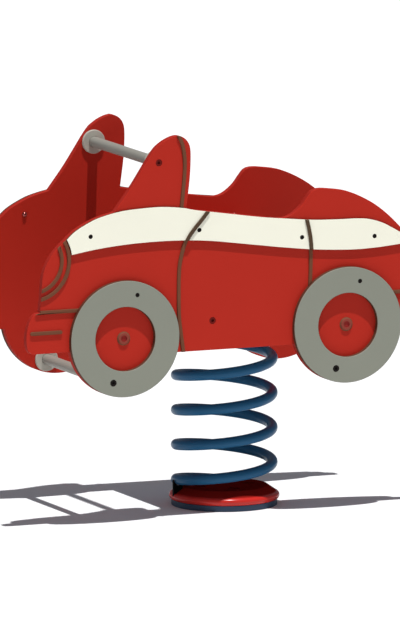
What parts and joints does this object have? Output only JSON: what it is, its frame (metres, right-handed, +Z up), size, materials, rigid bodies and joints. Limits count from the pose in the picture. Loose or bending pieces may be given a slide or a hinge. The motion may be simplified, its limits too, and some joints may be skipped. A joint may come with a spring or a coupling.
{
  "type": "spring rider",
  "caption": "Playground spring rider: two board side panels cut as a small car, with a seat, handlebar and footrest between them, on one upright coil spring and a round base.",
  "frame": {"origin": "on the spring's axis, at the underside of the ground plate", "axes": "-X towards the car's nose, -Y towards the car's left side, +Z up"},
  "size_m": [0.8161, 0.345, 0.7241],
  "materials": {
    "board_red": "satin coloured board, fine grain",
    "board_cream": "satin coloured board, fine grain",
    "board_grey": "satin coloured board, fine grain",
    "trim_brown": "satin brown strip",
    "spring_blue": "gloss powder coat on spring steel",
    "base_red": "gloss powder coat",
    "ground_plate_blue": "satin powder coat",
    "carrier_steel": "satin powder coat",
    "fixing_black": "matt black coat",
    "bar_grey": "satin grey coat",
    "fastener_steel": "darkened steel"
  },
  "bodies": {
    "base": {"ground_plate": "ground_plate_blue", "base_cap": "base_red", "base_screws": "fastener_steel", "wire_block": "fixing_black", "lower_clip": "fixing_black", "lower_clip_bolt": "fastener_steel"},
    "spring": {"coil_spring": "spring_blue"},
    "rider": {"cradle_bolts": "fastener_steel", "footrest": "bar_grey", "footrest_bolts": "fastener_steel", "front_left_hub": "board_red", "front_left_wheel": "board_grey", "front_right_hub": "board_red", "front_right_wheel": "board_grey", "handlebar": "bar_grey", "handlebar_bolts": "fastener_steel", "head_bolts": "fastener_steel", "head_plate": "carrier_steel", "left_footrest_flange": "bar_grey", "left_handlebar_flange": "bar_grey", "left_panel": "board_red", "left_stripe": "board_cream", "left_stripe_bolts": "fastener_steel", "left_trim": "trim_brown", "rear_left_hub": "board_red", "rear_left_wheel": "board_grey", "rear_right_hub": "board_red", "rear_right_wheel": "board_grey", "rear_wheel_bolts": "fastener_steel", "right_footrest_flange": "bar_grey", "right_handlebar_flange": "bar_grey", "right_panel": "board_red", "right_stripe": "board_cream", "right_stripe_bolts": "fastener_steel", "right_trim": "trim_brown", "seat_board": "board_red", "seat_bolts": "fastener_steel", "seat_cradle": "carrier_steel", "upper_clip": "fixing_black", "upper_clip_bolt": "fastener_steel", "upper_wheel_bolts": "fastener_steel"}
  },
  "joints": [
    {"name": "rock", "type": "hinge", "parent": "base", "child": "spring", "pos_m": [0, 0, 0.1], "axis": [0, 1, 0], "range_deg": [-25, 25], "stiffness_Nm_per_rad": 620, "springref_deg": 0.85, "deforming": ["coil_spring"]},
    {"name": "sway", "type": "hinge", "parent": "spring", "child": "rider", "pos_m": [0, 0, 0.237], "axis": [1, 0, 0], "range_deg": [-20, 20], "stiffness_Nm_per_rad": 620, "springref_deg": 0, "deforming": ["coil_spring"]}
  ]
}
